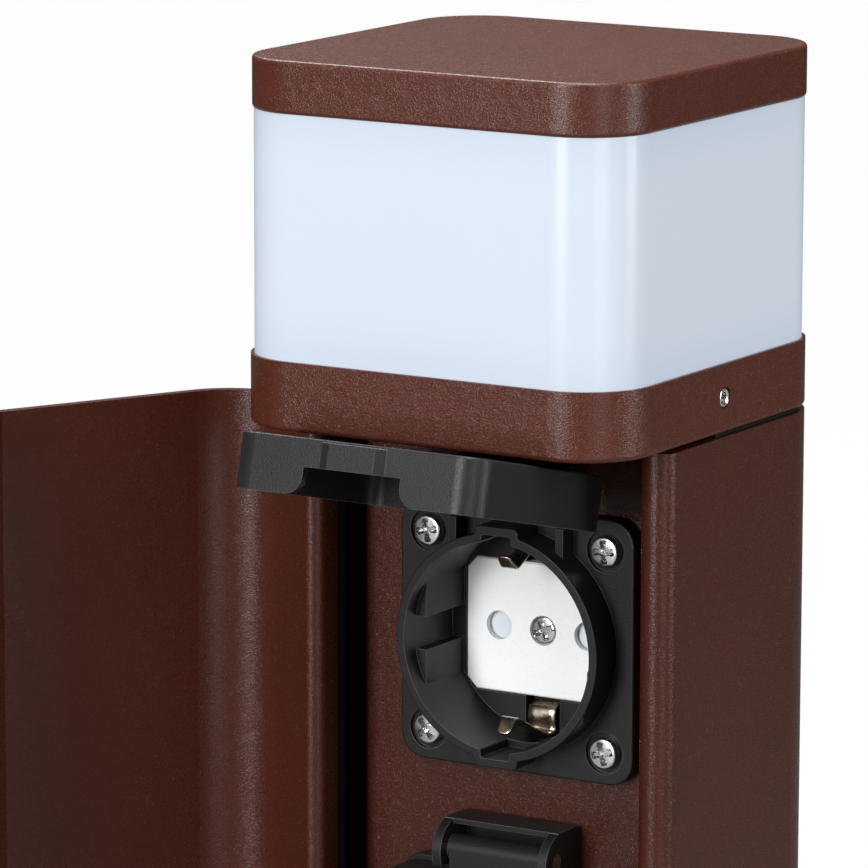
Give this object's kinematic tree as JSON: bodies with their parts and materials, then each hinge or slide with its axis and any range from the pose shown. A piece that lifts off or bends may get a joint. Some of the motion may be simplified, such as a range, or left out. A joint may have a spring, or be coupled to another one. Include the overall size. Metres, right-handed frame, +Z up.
{
  "type": "bollard light with sockets",
  "caption": "Square post light with a rounded opal head and a full-height hinged door over a recess with two covered power sockets.",
  "frame": {"origin": "centre of the foot plate's square at its underside", "axes": "+Z up along the post, the door and sockets face -Y, +X to the right seen from the front"},
  "size_m": [0.1541, 0.1409, 0.4493],
  "materials": {
    "body_paint": "fine textured brown powder coat",
    "steel": "zinc plated",
    "stainless": "bright stainless",
    "magnet": "nickel plated",
    "black_rubber": "matt",
    "opal": "glossy translucent opal",
    "bare_aluminium": "milled",
    "board_white": "white solder mask",
    "led_yellow": "phosphor",
    "white_case": "moulded",
    "terminal_grey": "moulded",
    "black_plastic": "fine grained moulding",
    "bright_screw": "bright zinc",
    "insert_white": "smooth moulding",
    "contact_brass": "bright",
    "clip_nickel": "nickel plated bronze",
    "shutter_plastic": "translucent"
  },
  "bodies": {
    "post": {"cable_gland": "black_plastic", "cap": "body_paint", "catch_strikes": "steel", "column": "body_paint", "diffuser": "opal", "diffuser_seal": "black_rubber", "driver": "white_case", "foot_plate": "body_paint", "foot_screws": "steel", "head_collar": "body_paint", "head_gasket": "black_rubber", "head_screws": "steel", "led_board": "board_white", "led_plate": "bare_aluminium", "led_screws": "steel", "leds": "led_yellow", "lower_contacts": "contact_brass", "lower_earth_clips": "clip_nickel", "lower_flange_screws": "bright_screw", "lower_gasket": "black_rubber", "lower_housing": "black_plastic", "lower_insert": "insert_white", "lower_insert_screw": "bright_screw", "lower_lid_pin": "stainless", "lower_rear_cover": "black_plastic", "set_screws": "stainless", "terminal_block": "terminal_grey", "tie_rods": "steel", "upper_contacts": "contact_brass", "upper_earth_clips": "clip_nickel", "upper_flange_screws": "bright_screw", "upper_gasket": "black_rubber", "upper_housing": "black_plastic", "upper_insert": "insert_white", "upper_insert_screw": "bright_screw", "upper_lid_pin": "stainless", "upper_rear_cover": "black_plastic"},
    "door_leaf": {"door": "body_paint", "catch_magnets": "magnet"},
    "upper_flap": {"upper_lid": "black_plastic", "upper_lid_seal": "black_rubber"},
    "lower_flap": {"lower_lid": "black_plastic", "lower_lid_seal": "black_rubber"},
    "upper_guard": {"upper_shutter": "shutter_plastic"},
    "lower_guard": {"lower_shutter": "shutter_plastic"}
  },
  "joints": [
    {"name": "door_hinge", "type": "hinge", "parent": "post", "child": "door_leaf", "pos_m": [-0.0384, -0.0137, 0.19], "axis": [0, 0, 1], "range_deg": [0, 117]},
    {"name": "upper_lid_hinge", "type": "hinge", "parent": "post", "child": "upper_flap", "pos_m": [0, -0.0103, 0.3682], "axis": [1, 0, 0], "range_deg": [0, 103.5]},
    {"name": "lower_lid_hinge", "type": "hinge", "parent": "post", "child": "lower_flap", "pos_m": [0, -0.0103, 0.2997], "axis": [-1, 0, 0], "range_deg": [0, 20]},
    {"name": "upper_shutter_turn", "type": "hinge", "parent": "post", "child": "upper_guard", "pos_m": [0, 0.0082, 0.3392], "axis": [0, 1, 0], "range_deg": [0, 38], "stiffness_Nm_per_rad": 0.002, "springref_deg": -11.46},
    {"name": "lower_shutter_turn", "type": "hinge", "parent": "post", "child": "lower_guard", "pos_m": [0, 0.0082, 0.2707], "axis": [0, 1, 0], "range_deg": [0, 38], "stiffness_Nm_per_rad": 0.002, "springref_deg": -11.46}
  ],
  "couplings": [
    {"joint": "upper_lid_hinge", "follows": "door_hinge", "ratio": 0.8846}
  ]
}
